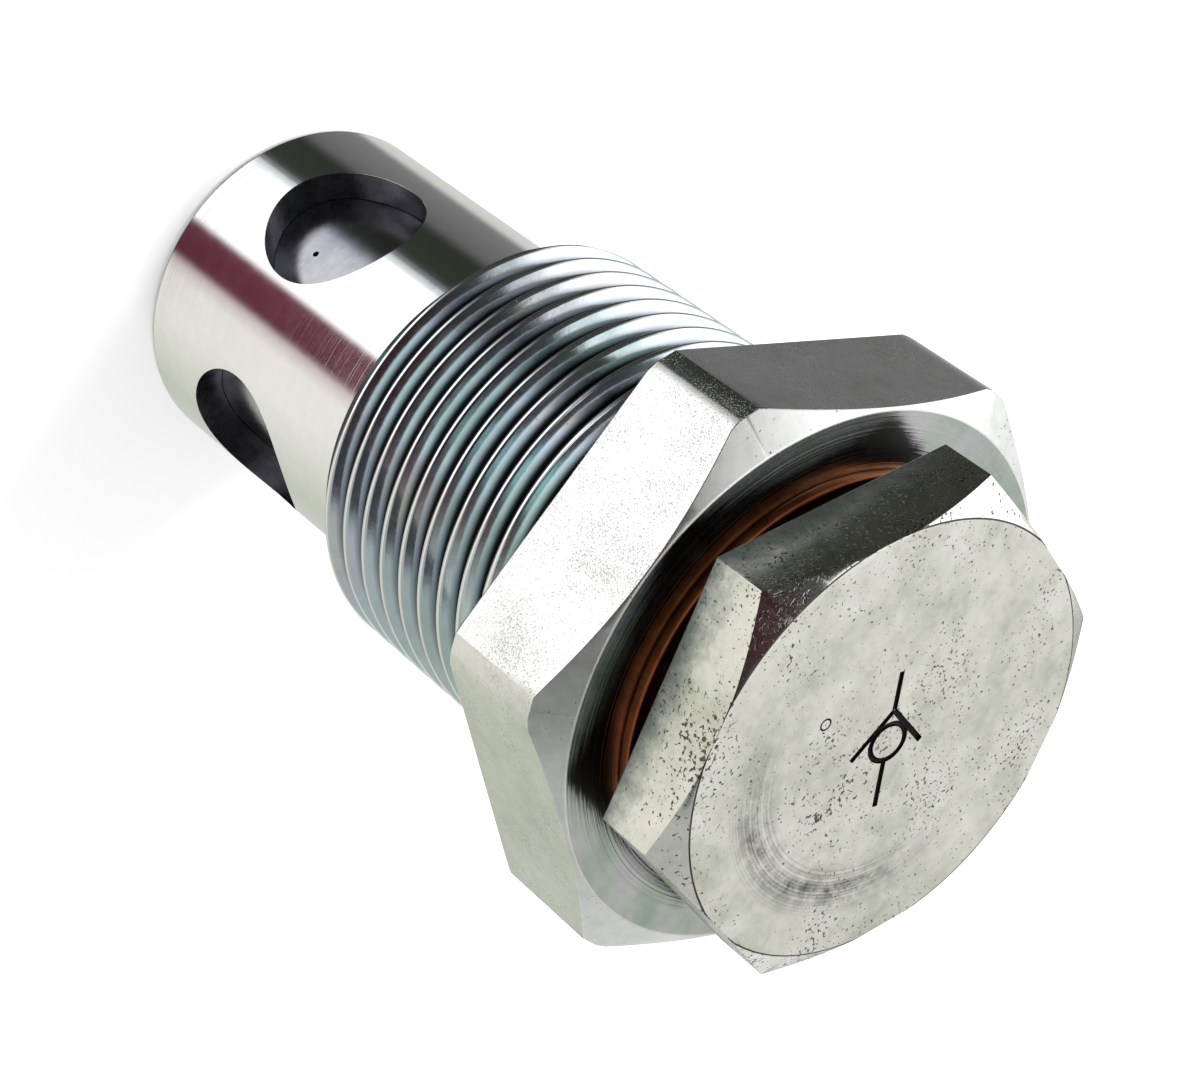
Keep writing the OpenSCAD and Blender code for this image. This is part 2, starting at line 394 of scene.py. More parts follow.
# %% Soft lights
def soft_light(name, at, power, size):
    """An area light that shines at the valve."""
    data = bpy.data.lights.new(name, "AREA")
    data.energy = power
    data.size = size
    made = bpy.data.objects.new(name, data)
    scene.collection.objects.link(made)
    at = Vector(at)
    aim = Vector((0, 0, -0.02))
    facing = (aim - at).to_track_quat("-Z", "Y").to_matrix().to_4x4()
    made.matrix_world = Matrix.Translation(at) @ facing
    return made


key = soft_light("key", (0.15, -0.5, 0.7), 6.0, 0.5)
fill_light = soft_light("fill", (-0.6, 0.3, 0.6), 4.0, 0.6)
for light in (key, fill_light):
    light.visible_glossy = False


# %% [markdown]
# ## Turned pieces
# Most of the valve is turned on a lathe and two hexagons are milled on it. `turned_piece` makes
# both kinds: it asks for the outline at every angle round the axis and skins the outlines
# together. An outline is a list of points from the inside out, each a radius and a height, and a
# hexagon's outline just reaches further at its corners than at its flats.

# %% The lathe
def angles_with_corners(turn, steps=180):
    """Angles round the axis, with the corners of a hexagon and a close pair beside each."""
    found = {round(360 * i / steps, 4) for i in range(steps)}
    for side in range(6):
        corner = (turn + 30 + 60 * side) % 360
        found = {a for a in found if abs((a - corner + 180) % 360 - 180) > 1.0}
        found |= {round((corner + off) % 360, 4) for off in (-0.9, -0.4, 0, 0.4, 0.9)}
    return sorted(found)


def turned_piece(name, outline_at, angles=None, closed=True):
    """A mesh skinned over the outlines at each angle. An open outline ends on the axis."""
    angles = angles or range(0, 360, 2)
    bm = bmesh.new()
    columns = []
    for angle in angles:
        turn = math.radians(angle)
        columns.append([bm.verts.new((r * math.cos(turn), r * math.sin(turn), z))
                        for r, z in outline_at(angle)])
    count = len(columns[0])
    for i, column in enumerate(columns):
        following = columns[(i + 1) % len(columns)]
        for j in range(count if closed else count - 1):
            k = (j + 1) % count
            bm.faces.new((column[j], column[k], following[k], following[j]))
    bmesh.ops.remove_doubles(bm, verts=bm.verts, dist=0.002 * MM)
    bmesh.ops.dissolve_degenerate(bm, edges=bm.edges, dist=0.001 * MM)
    bmesh.ops.recalc_face_normals(bm, faces=bm.faces)
    mesh = bpy.data.meshes.new(name)
    bm.to_mesh(mesh)
    bm.free()
    return mesh


def hexagon_reach(angle, across_flats, turn, corner_r):
    """How far a hexagon reaches from the axis at an angle, with its corners turned off."""
    off = (angle - turn + 30) % 60 - 30
    return min(across_flats / 2 / math.cos(math.radians(off)), corner_r)


def eased(points, ease):
    """The outline with each corner cut into a small round of three points."""
    out = []
    count = len(points)
    for i, (point, size) in enumerate(zip(points, ease)):
        if not size:
            out.append(point)
            continue
        here = Vector(point)
        before = Vector(points[i - 1]) - here
        after = Vector(points[(i + 1) % count]) - here
        size = min(size, before.length * 0.45, after.length * 0.45)
        start = here + before.normalized() * size
        end = here + after.normalized() * size
        middle = (start + end) / 4 + here / 2
        out += [tuple(start), tuple(middle), tuple(end)]
    return out


# %% [markdown]
# ## Valve body
# The hexagon is chamfered on its front by a cutter that leaves a round face. Below it come the
# thread, the thinner sleeve and the nose. The bore has the plug's threaded hole at one end and
# the poppet's conical seat at the other.

# %% Turn the body without its thread
THREAD_START_Z = -25.8 * MM


def body_outline(angle):
    """The body's closed outline: hexagon, shank, sleeve, nose and bore."""
    reach = hexagon_reach(angle, BODY_AF, BODY_TURN, BODY_CORNER_R)
    slope_z = face_z - (reach - BODY_FACE_R) * math.tan(math.radians(BODY_CHAMFER))
    seat_top = SEAT_Z + BORE_R - INLET_R
    points = [
        (PLUG_HOLE_R, face_z), (BODY_FACE_R, face_z), (reach, slope_z), (reach, 0),
        (SLEEVE_R, 0), (SLEEVE_R, nose_z + 0.4 * MM), (SLEEVE_R - 0.4 * MM, nose_z),
        (INLET_R, nose_z), (INLET_R, SEAT_Z), (BORE_R, seat_top),
        (BORE_R, PLUG_HOLE_END_Z), (PLUG_HOLE_R, PLUG_HOLE_END_Z),
    ]
    ease = [0.25, 0.10, 0.10, 0.15, 0, 0.08, 0.08, 0.15, 0.05, 0, 0.2, 0]
    return eased(points, [e * MM for e in ease])


body_mesh = turned_piece("body_turned", body_outline, angles_with_corners(BODY_TURN))
print("turned body:", len(body_mesh.polygons), "faces")

# %% [markdown]
# ## Threads
# A thread follows a rule, so Geometry Nodes make it. A grid is wrapped round the axis, one
# column for each angle. Ten rows of it are one pitch of the rounded pipe-thread profile, and
# every column stands a little higher than the last, so the rows climb one pitch in a turn and
# meet the next rows exactly. Two more rows close the tube on its inside. The same tree cuts the
# big thread of the body and the fine one of the plug: only the numbers on the modifier differ.

# %% The thread's tree
PROFILE = [(0, 1), (0.06, 0.978), (0.1218, 0.885), (0.3782, 0.115), (0.44, 0.022),
           (0.5, 0), (0.56, 0.022), (0.6218, 0.115), (0.8782, 0.885), (0.94, 0.978)]


def pick(tree, index, values):
    """One of a list of numbers, by index."""
    node = add_node(tree, "GeometryNodeIndexSwitch", data_type="FLOAT")
    while len(node.index_switch_items) < len(values):
        node.index_switch_items.new()
    fill(tree, node.inputs["Index"], index)
    for i, value in enumerate(values):
        node.inputs[i + 1].default_value = value
    return node.outputs[0]


thread_tree, given = new_tree("wound_thread", whole={"Columns": 180, "Pitches": 12}, number={
    "Start": -0.0258, "End": 0.0, "Pitch": 0.0023, "Crest height": 0.0, "Crest radius": 0.0166,
    "Root radius": 0.0151, "Inner radius": 0.0134, "Start radius": 0.0151}, finish={"Finish": None})
t = thread_tree
rows = maths(t, "MULTIPLY_ADD", given["Pitches"], 10.0, 3.0)
grid = add_node(t, "GeometryNodeMeshGrid", {"Size X": 1.0, "Size Y": 1.0, "Vertices Y": rows,
                "Vertices X": plus(t, given["Columns"], 1.0)})
index = add_node(t, "GeometryNodeInputIndex").outputs[0]
column = maths(t, "FLOOR", maths(t, "DIVIDE", plus(t, index, 0.5), rows))
row = minus(t, index, times(t, column, rows))
turn = maths(t, "DIVIDE", column, given["Columns"])
step = minus(t, row, 1.0)
pitch_number = maths(t, "FLOOR", maths(t, "DIVIDE", plus(t, step, 0.5), 10.0))
within = maths(t, "ROUND", minus(t, step, times(t, pitch_number, 10.0)))
share_up = pick(t, within, [p for p, _ in PROFILE])
share_out = pick(t, within, [d for _, d in PROFILE])
below = minus(t, minus(t, given["Start"], given["Pitch"]), given["Crest height"])
below = maths(t, "FLOOR", maths(t, "DIVIDE", below, given["Pitch"]))
turns_up = plus(t, plus(t, plus(t, below, pitch_number), share_up), turn)
height = maths(t, "MULTIPLY_ADD", turns_up, given["Pitch"], given["Crest height"])
height = maths(t, "MINIMUM", maths(t, "MAXIMUM", height, given["Start"]), given["End"])
depth = minus(t, given["Crest radius"], given["Root radius"])
radius = maths(t, "MULTIPLY_ADD", share_out, depth, given["Root radius"])
start_cap = plus(t, given["Start radius"], minus(t, height, given["Start"]))
end_cap = plus(t, given["Root radius"], minus(t, given["End"], height))
radius = maths(t, "MINIMUM", radius, maths(t, "MINIMUM", start_cap, end_cap))
first = maths(t, "LESS_THAN", row, 0.5)
last = maths(t, "GREATER_THAN", row, minus(t, rows, 1.5))
before_last = maths(t, "GREATER_THAN", row, minus(t, rows, 2.5))
before_last = times(t, before_last, minus(t, 1.0, last))
on_low = maths(t, "MAXIMUM", first, last)
inside = maths(t, "MAXIMUM", on_low, before_last)


def choose(tree, switch, no, yes):
    """One number or the other, by a switch of 0 or 1."""
    return plus(tree, times(tree, yes, switch), times(tree, no, minus(tree, 1.0, switch)))


radius = choose(t, inside, radius, given["Inner radius"])
height = choose(t, on_low, choose(t, before_last, height, given["End"]), given["Start"])
swing = times(t, turn, 2 * math.pi)
point = add_node(t, "ShaderNodeCombineXYZ", {"X": times(t, radius, maths(t, "COSINE", swing)),
                 "Y": times(t, radius, maths(t, "SINE", swing)), "Z": height})
wound = add_node(t, "GeometryNodeSetPosition", {
    "Geometry": grid.outputs["Mesh"], "Position": point})
welded = add_node(t, "GeometryNodeMergeByDistance", {"Geometry": wound, "Distance": 0.001 * MM})
end_tree(t, welded, given["Finish"])
print("thread tree:", len(t.nodes), "nodes")


# %% Run a tree and keep plain mesh
def set_inputs(modifier, tree, values):
    """Sets a modifier's inputs by their sockets' identifiers."""
    for item in tree.interface.items_tree:
        if item.item_type == "SOCKET" and item.in_out == "INPUT" and item.name in values:
            modifier[item.identifier] = values[item.name]


def plain_mesh(name, host):
    """What an object's modifiers make, as a plain mesh. The object is removed."""
    bpy.context.view_layer.update()
    graph = bpy.context.evaluated_depsgraph_get()
    mesh = bpy.data.meshes.new_from_object(host.evaluated_get(graph))
    mesh.name = name
    bpy.data.objects.remove(host)
    return mesh


def run_tree(name, tree, values, base=None):
    """What a Geometry Nodes tree makes from a mesh, as a plain mesh with merged, outward faces."""
    host = bpy.data.objects.new(name + "_host", base or bpy.data.meshes.new(name + "_base"))
    scene.collection.objects.link(host)
    modifier = host.modifiers.new("nodes", "NODES")
    modifier.node_group = tree
    set_inputs(modifier, tree, values)
    mesh = plain_mesh(name, host)
    bm = bmesh.new()
    bm.from_mesh(mesh)
    bmesh.ops.remove_doubles(bm, verts=bm.verts, dist=0.0005 * MM)
    bmesh.ops.dissolve_degenerate(bm, edges=bm.edges, dist=0.0002 * MM)
    bmesh.ops.recalc_face_normals(bm, faces=bm.faces)
    loose = [e for e in bm.edges if len(e.link_faces) != 2]
    bm.to_mesh(mesh)
    bm.free()
    print(name, len(mesh.polygons), "faces,", len(loose), "open edges")
    return mesh


def combine(name, mesh, other, operation):
    """The union or the difference of two closed meshes."""
    host = bpy.data.objects.new(name + "_host", mesh)
    tool = bpy.data.objects.new(name + "_tool", other)
    for thing in (host, tool):
        scene.collection.objects.link(thing)
    modifier = host.modifiers.new("combine", "BOOLEAN")
    modifier.operation = operation
    modifier.solver = "EXACT"
    modifier.object = tool
    modifier.material_mode = "TRANSFER"
    made = plain_mesh(name, host)
    bpy.data.objects.remove(tool)
    print(name, operation.lower(), len(made.polygons), "faces")
    return made


# %% Cut the body's thread and join it on
BODY_PITCH = 2.309 * MM
BODY_ROOT_R = 15.146 * MM
BODY_CREST_Z = -21.7635 * MM
COLUMNS = 168
body_thread = run_tree("body_thread", thread_tree, {
    "Columns": COLUMNS, "Pitches": 14, "Start": THREAD_START_Z, "End": 0.3 * MM,
    "Pitch": BODY_PITCH, "Crest height": BODY_CREST_Z, "Crest radius": 16.6 * MM,
    "Root radius": BODY_ROOT_R, "Inner radius": 13.43 * MM, "Start radius": 15.1 * MM})
body_mesh = combine("body_threaded", body_mesh, body_thread, "UNION")

# %% [markdown]
# ## Ports and bleed holes
# Round holes in a ring repeat, so one Geometry Nodes tree drills them: it sets a cylinder on
# each point of a circle, turns each to face its way, and cuts them all out of the mesh. The
# sleeve gets its four ports from it and the poppet its two bleed holes.

# %% The drilling tree
drill_tree, given = new_tree(
    "drilled_ring", takes_mesh=True, whole={"Count": 4, "Sides": 64}, finish={"Finish": None},
    number={"Radius": 0.006, "Reach": 0.014, "Height": 0.0, "Turn": 0.0})
t = drill_tree
drill = add_node(t, "GeometryNodeMeshCylinder", {
    "Vertices": given["Sides"], "Radius": given["Radius"], "Depth": given["Reach"]})
half_way = times(t, given["Reach"], 0.5)
middle = add_node(t, "ShaderNodeCombineXYZ", {"X": half_way, "Z": given["Height"]})
laid = add_node(t, "GeometryNodeTransform", {
    "Geometry": drill, "Translation": middle, "Rotation": (0, math.pi / 2, 0)})
spots = add_node(t, "GeometryNodeMeshLine", {"Count": given["Count"], "Offset": (0, 0, 0)})
spot = add_node(t, "GeometryNodeInputIndex").outputs[0]
share_round = maths(t, "DIVIDE", spot, given["Count"])
around = maths(t, "MULTIPLY_ADD", share_round, 2 * math.pi, given["Turn"])
facing = add_node(t, "ShaderNodeCombineXYZ", {"Z": around})
drills = add_node(t, "GeometryNodeInstanceOnPoints", {
    "Points": spots, "Instance": laid, "Rotation": facing})
drills = add_node(t, "GeometryNodeRealizeInstances", {"Geometry": drills})
cut = add_node(t, "GeometryNodeMeshBoolean", operation="DIFFERENCE", solver="EXACT")
t.links.new(given["Geometry"], cut.inputs["Mesh 1"])
t.links.new(drills.outputs[0], cut.inputs["Mesh 2"])
end_tree(t, cut, given["Finish"])

# %% Drill the ports and break their rims
body_mesh = run_tree("body_drilled", drill_tree, {
    "Count": PORT_COUNT, "Sides": 72, "Radius": PORT_R, "Reach": 20 * MM, "Height": PORT_Z,
    "Turn": 0.0}, body_mesh)


def on_port_rim(point):
    """True where a point lies on a port's edge on the sleeve's outside."""
    reach = math.hypot(point.x, point.y)
    if abs(reach - SLEEVE_R) > 0.02 * MM:
        return False
    across = min(abs(point.x), abs(point.y))
    return abs(math.hypot(across, point.z - PORT_Z) - PORT_R) < 0.02 * MM


bm = bmesh.new()
bm.from_mesh(body_mesh)
rim = [e for e in bm.edges if all(on_port_rim(v.co) for v in e.verts) and len(e.link_faces) == 2
       and e.calc_face_angle(0) > 0.3]
bmesh.ops.bevel(bm, geom=rim, offset=0.1 * MM, segments=2, affect="EDGES", clamp_overlap=True)
bm.to_mesh(body_mesh)
bm.free()
print("port rims eased:", len(rim), "edges")

# %% [markdown]
# ## End plug
# The plug's hexagon has its own chamfer and stands on a turned collar that nips the copper
# washer. Its face has been knocked: a shallow dent lies off to one side, with a ring left by a
# punch. The marks that a maker engraves there are replaced by the plain symbol of a check valve,
# a ball on its seat with a line on each side.

# %% Turn the plug
DENT_AT, DENT_R, DENT_DEPTH = (-0.7 * MM, 5.3 * MM), 7.8 * MM, 0.20 * MM
PLUG_PITCH = 1.814 * MM
PLUG_THREAD_R = 13.22 * MM
PLUG_ROOT_R = 12.06 * MM
PLUG_SHANK_R = PLUG_ROOT_R - 0.1 * MM


def plug_outline(angle):
    """The plug's outline from the top of its axis out, down and back up its pocket."""
    reach = hexagon_reach(angle, PLUG_AF, PLUG_TURN, PLUG_AF)
    face_r = min(PLUG_FACE_R, reach - 0.06 * MM)
    slope_z = plug_top_z - (reach - face_r) * math.tan(math.radians(PLUG_CHAMFER))
    rings = [(face_r * i / 34, plug_top_z) for i in range(34)]
    shank = [(face_r, plug_top_z), (reach, slope_z), (reach, head_z), (COLLAR_R, head_z),
             (COLLAR_R, washer_top_z), (PLUG_SHANK_R, washer_top_z), (PLUG_SHANK_R, plug_end_z),
             (POCKET_R, plug_end_z), (POCKET_R, POCKET_TOP_Z), (0, POCKET_TOP_Z)]
    ease = [0.07, 0.06, 0.12, 0.05, 0.1, 0, 0.3, 0.3, 0.2, 0]
    turned = eased(rings[-1:] + shank + rings[:1], [0] + [e * MM for e in ease] + [0])
    return rings + turned[1:-1]


plug_angles = angles_with_corners(PLUG_TURN, 216)
plug_mesh = turned_piece("plug_turned", plug_outline, plug_angles, closed=False)


def dent_depth(x, y):
    """How deep the dent is at a point of the plug's face."""
    away = math.hypot(x - DENT_AT[0], y - DENT_AT[1]) / DENT_R
    return DENT_DEPTH * (1 - away * away) ** 2 if away < 1 else 0.0


for vertex in plug_mesh.vertices:
    if vertex.co.z > plug_top_z - 0.001 * MM:
        vertex.co.z -= dent_depth(vertex.co.x, vertex.co.y)
plug_thread = run_tree("plug_thread", thread_tree, {
    "Columns": COLUMNS, "Pitches": 10, "Start": plug_end_z + 0.05 * MM,
    "End": washer_top_z - 0.4 * MM, "Pitch": PLUG_PITCH, "Crest height": 0.0,
    "Crest radius": PLUG_THREAD_R,
    "Root radius": PLUG_ROOT_R, "Inner radius": 10.5 * MM, "Start radius": 12.0 * MM})
plug_mesh = combine("plug_threaded", plug_mesh, plug_thread, "UNION")


# %% The symbol's strokes
def stroke_mesh(name, points, radius, closed=False):
    """A round-nosed cutter's path as a closed mesh, on the plug's face."""
    curve = bpy.data.curves.new(name, "CURVE")
    curve.dimensions = "3D"
    curve.bevel_depth = radius
    curve.bevel_resolution = 2
    curve.use_fill_caps = not closed
    spline = curve.splines.new("POLY")
    spline.points.add(len(points) - 1)
    for target, (x, y) in zip(spline.points, points):
        target.co = (x, y, plug_top_z - dent_depth(x, y), 1)
    spline.use_cyclic_u = closed
    holder = bpy.data.objects.new(name, curve)
    scene.collection.objects.link(holder)
    mesh = plain_mesh(name, holder)
    bm = bmesh.new()
    bm.from_mesh(mesh)
    bmesh.ops.remove_doubles(bm, verts=bm.verts, dist=0.0005 * MM)
    bmesh.ops.recalc_face_normals(bm, faces=bm.faces)
    bm.to_mesh(mesh)
    bm.free()
    return mesh


# the symbol in its own frame, in millimetres: lines and circles, then its place on the face
SYMBOL_LINES = [[(-5.6, 0), (-2.6, 0)], [(1.5, 0), (5.2, 0)],
                [(0.7, -3.0), (-2.55, 0.0)], [(0.7, 3.0), (-2.55, 0.0)]]
SYMBOL_RINGS = [(0.0, 0.0, 1.45)]
SYMBOL_TURN, SYMBOL_AT = math.radians(157.6), (0.0, 0.0)
PUNCH_AT, PUNCH_R = (5.4, 4.4), 0.42
STROKE_R, PUNCH_LINE_R = 0.22 * MM, 0.07 * MM


def on_face(point):
    """A point of the symbol on the plug's face, in metres."""
    x, y = point
    return ((SYMBOL_AT[0] + x * math.cos(SYMBOL_TURN) - y * math.sin(SYMBOL_TURN)) * MM,
            (SYMBOL_AT[1] + x * math.sin(SYMBOL_TURN) + y * math.cos(SYMBOL_TURN)) * MM)


def finely(line, parts=8):
    """The line with points added between its own, so that it can follow the dent."""
    out = [line[0]]
    for (x0, y0), (x1, y1) in zip(line, line[1:]):
        out += [(x0 + (x1 - x0) * i / parts, y0 + (y1 - y0) * i / parts)
                for i in range(1, parts + 1)]
    return out


print("symbol strokes:", len(SYMBOL_LINES), "lines,", len(SYMBOL_RINGS), "ring")

# %% [markdown]
# ## Copper washer
# A flat ring punched from sheet, so its edges are slightly rounded. When it is nipped, its outer
# edge bulges a little.

# %% Turn the washer
def washer_outline(angle):
    """The washer's closed outline."""
    middle = (face_z + washer_top_z) / 2
    points = [(WASHER_HOLE_R, face_z), (washer_r - 0.06 * MM, face_z), (washer_r, middle),
              (washer_r - 0.06 * MM, washer_top_z), (WASHER_HOLE_R, washer_top_z)]
    return eased(points, [0.12 * MM, 0.16 * MM, 0.2 * MM, 0.16 * MM, 0.12 * MM])


washer_mesh = turned_piece("washer_turned", washer_outline)
print("washer:", len(washer_mesh.polygons), "faces")

# %% [markdown]
# ## Poppet
# A thin-walled steel cup, ground on its outside. Its conical nose seats in the body, its skirt
# closes the ports, and two tiny bleed holes through the skirt damp it.

# %% Turn and drill the poppet
def poppet_outline(angle):
    """The poppet's outline from the middle of its nose round the skirt to its floor."""
    cone_top = poppet_low.z + poppet_r - POPPET_NOSE_R
    points = [(0, poppet_low.z), (POPPET_NOSE_R, poppet_low.z), (poppet_r, cone_top),
              (poppet_r, poppet_high.z), (SKIRT_IN_R, poppet_high.z),
              (SKIRT_IN_R, POPPET_FLOOR_Z), (0, POPPET_FLOOR_Z)]
    return eased(points, [0, 0.1 * MM, 0.1 * MM, 0.25 * MM, 0.25 * MM, 0.4 * MM, 0])


poppet_mesh = turned_piece("poppet_turned", poppet_outline, closed=False)
poppet_mesh = run_tree("poppet_drilled", drill_tree, {
    "Count": BLEED_COUNT, "Sides": 24, "Radius": BLEED_R, "Reach": 16 * MM,
    "Height": BLEED_Z, "Turn": math.radians(BLEED_TURN)}, poppet_mesh)

# %% [markdown]
# ## Spring
# A spring is a path with a rule: one closed turn, the working turns at an even pitch, and one
# more closed turn, with both ends ground flat. The tree lays points up a line, bends them into
# that helix, and sweeps the wire's round along it.

# %% The spring's tree
WIRE_R = 0.8 * MM
COIL_R = 7.7 * MM
WORKING_TURNS = 12
GROUND_OFF = 0.25 * MM
spring_tree, given = new_tree(
    "wound_spring", whole={"Working turns": 12, "Steps a turn": 36}, finish={"Finish": None},
    number={"Coil radius": 0.0077, "Wire radius": 0.0008, "Low": 0.0, "High": 0.05})
t = spring_tree
all_turns = plus(t, given["Working turns"], 2.0)
count = maths(t, "MULTIPLY_ADD", all_turns, given["Steps a turn"], 1.0)
line = add_node(t, "GeometryNodeMeshLine", {"Count": count, "Offset": (0, 0, 0.001)})
turned = maths(t, "DIVIDE", add_node(t, "GeometryNodeInputIndex").outputs[0], given["Steps a turn"])
closed_pitch = times(t, given["Wire radius"], 2.16)
lowest = plus(t, given["Low"], given["Wire radius"])
highest = minus(t, given["High"], given["Wire radius"])
open_length = minus(t, highest, lowest)
open_length = minus(t, open_length, times(t, closed_pitch, 2.0))
open_pitch = maths(t, "DIVIDE", open_length, given["Working turns"])
first_turn = maths(t, "MINIMUM", turned, 1.0)
last_turn = minus(t, minus(t, turned, given["Working turns"]), 1.0)
last_turn = maths(t, "MAXIMUM", last_turn, 0.0)
working = minus(t, minus(t, turned, first_turn), last_turn)
height = maths(t, "MULTIPLY_ADD", plus(t, first_turn, last_turn), closed_pitch, lowest)
height = maths(t, "MULTIPLY_ADD", working, open_pitch, height)
swing = times(t, turned, 2 * math.pi)
point = add_node(t, "ShaderNodeCombineXYZ", {
    "X": times(t, maths(t, "COSINE", swing), given["Coil radius"]),
    "Y": times(t, maths(t, "SINE", swing), given["Coil radius"]), "Z": height})
path = add_node(t, "GeometryNodeSetPosition", {"Geometry": line, "Position": point})
path = add_node(t, "GeometryNodeMeshToCurve", {"Mesh": path})
wire = add_node(t, "GeometryNodeCurvePrimitiveCircle", {
    "Resolution": 16, "Radius": given["Wire radius"]})
swept = add_node(t, "GeometryNodeCurveToMesh", {
    "Curve": path, "Profile Curve": wire, "Fill Caps": True})
where = add_node(t, "ShaderNodeSeparateXYZ", {0: add_node(t, "GeometryNodeInputPosition")})
ground_z = maths(t, "MAXIMUM", where.outputs["Z"], plus(t, given["Low"], GROUND_OFF))
ground_z = maths(t, "MINIMUM", ground_z, minus(t, given["High"], GROUND_OFF))
ground = add_node(t, "ShaderNodeCombineXYZ", {
    "X": where.outputs["X"], "Y": where.outputs["Y"], "Z": ground_z})
swept = add_node(t, "GeometryNodeSetPosition", {"Geometry": swept, "Position": ground})
end_tree(t, swept, given["Finish"])
spring_mesh = run_tree("spring_wound", spring_tree, {
    "Working turns": WORKING_TURNS, "Steps a turn": 36, "Coil radius": COIL_R,
    "Wire radius": WIRE_R, "Low": spring_low.z - GROUND_OFF, "High": spring_high.z + GROUND_OFF})


# %% [markdown]
# ## Finishes
# The steel is zinc plated: bright, but with fine dark specks where the plating is thin. What a
# tool did last still shows, so one recipe, `metal_finish`, builds every metal from the same
# parts: a colour that varies softly, specks, and fine lines that run the way the tool ran. Rings
# round the axis come from the distance to the axis, and lines along a cylinder from the height.

# %% The metal recipe
FINE_LINES = 5200.0
DARK_SPECK = (0.11, 0.11, 0.09)
BUMP_DEPTH = 0.02 * MM


def metal_finish(name, colours, roughness, specks=None, speck_tone=DARK_SPECK, lines=None,
                 grain_scale=900, cloud_scale=120, extra=None, speck_scale=3300.0,
                 grain_depth=0.3):
    """A procedural metal. `colours` are dark, middle and light tones, `specks` is the level that
    specks start at, and `lines` is rings or bands, with their depth."""
    material = bpy.data.materials.new(name)
    material.use_nodes = True
    tree = material.node_tree
    shader = tree.nodes["Principled BSDF"]
    shader.inputs["Metallic"].default_value = 1.0
    spot_at = add_node(tree, "ShaderNodeTexCoord").outputs["Object"]
    split = add_node(tree, "ShaderNodeSeparateXYZ", {0: spot_at})
    clouds = noise(tree, spot_at, cloud_scale, 5.0, 0.6)
    grain = noise(tree, spot_at, grain_scale, 3.0, 0.65)
    tone = maths(tree, "MULTIPLY_ADD", grain, 0.35, times(tree, clouds, 0.65))
    colour = colour_ramp(tree, tone, [(0.36, colours[0]), (0.5, colours[1]), (0.64, colours[2])])
    rough = maths(tree, "MULTIPLY_ADD", grain, roughness[1] - roughness[0], roughness[0])
    relief = times(tree, grain, grain_depth)
    if specks:
        pits = noise(tree, spot_at, speck_scale, 2.0, 0.55)
        level = maths(tree, "MULTIPLY_ADD", noise(tree, spot_at, 190.0, 3.0), 0.45, pits)
        share_dark = past(tree, level, specks, 16.0)
        colour = mix_colour(tree, share_dark, colour, speck_tone)
        rough = maths(tree, "MULTIPLY_ADD", share_dark, 0.12, rough)
        relief = minus(tree, relief, times(tree, share_dark, 0.35))
    if lines:
        along = off_axis(tree, split) if lines[0] == "rings" else split.outputs["Z"]
        fine = noise(tree, along, FINE_LINES, 3.0, 0.7)
        relief = maths(tree, "MULTIPLY_ADD", fine, lines[1], relief)
    if extra:
        colour, rough, relief = extra(tree, spot_at, split, colour, rough, relief)
    bump = add_node(tree, "ShaderNodeBump", {
        "Height": relief, "Distance": BUMP_DEPTH, "Strength": 1.0})
    fill(tree, shader.inputs["Base Color"], colour)
    fill(tree, shader.inputs["Roughness"], rough)
    fill(tree, shader.inputs["Normal"], bump)
    return material


ZINC = [(0.68, 0.69, 0.66), (0.79, 0.80, 0.78), (0.88, 0.88, 0.87)]
SATIN = [(0.76, 0.76, 0.75), (0.80, 0.80, 0.79), (0.84, 0.84, 0.83)]
TURNED = [(0.40, 0.42, 0.40), (0.52, 0.54, 0.52), (0.62, 0.63, 0.62)]
BORED_SHADED = [(0.10, 0.10, 0.11), (0.16, 0.16, 0.18), (0.22, 0.22, 0.25)]
NEAR_BLACK = [(0.008, 0.007, 0.006), (0.018, 0.016, 0.014), (0.04, 0.035, 0.03)]
SHADED = [(0.05, 0.045, 0.04), (0.08, 0.07, 0.065), (0.12, 0.11, 0.10)]


# %% The body's finishes
# how far the painted shade stands up from the thread's root, and where its crest gets a painted
# highlight
ROOT_SHADE_DEPTH, CREST_HIGHLIGHT_R = 0.34 * MM, 16.52 * MM


def thread_tint_and_painted_light(tree, spot_at, split, colour, rough, relief):
    """The blue, green and lilac tints of plating on the thread's flanks, with painted shade towards
    the root and a painted highlight on the crest.
    """
    tint = colour_ramp(tree, noise(tree, spot_at, 95.0, 3.0), [
        (0.36, (0.34, 0.56, 0.56)), (0.48, (0.46, 0.64, 0.74)),
        (0.56, (0.52, 0.58, 0.74)), (0.66, (0.62, 0.66, 0.64))])
    colour = mix_colour(tree, 0.5, colour, tint)
    out = off_axis(tree, split)
    clear_of_root_shade = past(tree, out, BODY_ROOT_R + ROOT_SHADE_DEPTH, 1 / (0.60 * MM))
    crest = past(tree, out, CREST_HIGHLIGHT_R, 1 / (0.06 * MM))
    # painted shade: the flanks turn near black towards the thread's root
    colour = mix_colour(tree, clear_of_root_shade, (0.03, 0.035, 0.04), colour)
    # painted highlight: the crest is lightened to near white
    return mix_colour(tree, crest, colour, (0.88, 0.89, 0.89)), rough, relief


def turned_tint(tree, spot_at, split, colour, rough, relief):
    """A greener, cloudier plating on the turned front face."""
    tint = colour_ramp(tree, noise(tree, spot_at, 210.0, 4.0), [
        (0.36, (0.32, 0.46, 0.42)), (0.5, (0.52, 0.60, 0.57)), (0.64, (0.64, 0.62, 0.72))])
    return mix_colour(tree, 0.5, colour, tint), rough, relief


